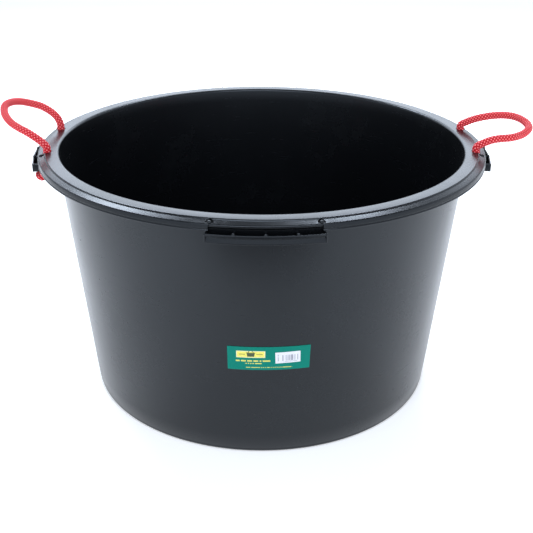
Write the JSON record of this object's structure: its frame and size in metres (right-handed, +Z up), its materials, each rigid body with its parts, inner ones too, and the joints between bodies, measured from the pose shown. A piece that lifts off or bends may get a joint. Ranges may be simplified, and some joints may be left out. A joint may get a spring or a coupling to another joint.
{
  "type": "mortar mixing tub",
  "caption": "Round conical plastic tub for mixing mortar, with a rolled rim, ribbed hand grips and two knotted rope carrying handles.",
  "frame": {"origin": "on the tub's axis at the underside of its base", "axes": "+Z up along the tub's axis; the label faces -Y; the rope handles are on -X (left) and +X (right)"},
  "size_m": [0.7867, 0.6724, 0.4284],
  "materials": {
    "black_plastic": "semi-gloss moulded polyethylene",
    "red_rope": "braided polypropylene rope",
    "label_film": "printed self-adhesive film",
    "barcode_film": "white self-adhesive film"
  },
  "bodies": {
    "tub": {"tub_shell": "black_plastic", "rope_tail_left_front": "red_rope", "rope_tail_left_back": "red_rope", "rope_tail_right_front": "red_rope", "rope_tail_right_back": "red_rope", "knot_left_front": "red_rope", "knot_left_back": "red_rope", "knot_right_front": "red_rope", "knot_right_back": "red_rope", "product_label": "label_film", "barcode_label": "barcode_film"},
    "left_rope_loop": {"rope_loop_left": "red_rope"},
    "right_rope_loop": {"rope_loop_right": "red_rope"}
  },
  "joints": [
    {"name": "left_rope_swing", "type": "hinge", "parent": "tub", "child": "left_rope_loop", "pos_m": [-0.30894, 0, 0.381], "axis": [0, 1, 0], "range_deg": [-20, 90]},
    {"name": "right_rope_swing", "type": "hinge", "parent": "tub", "child": "right_rope_loop", "pos_m": [0.30894, 0, 0.381], "axis": [0, -1, 0], "range_deg": [-10, 110]}
  ]
}
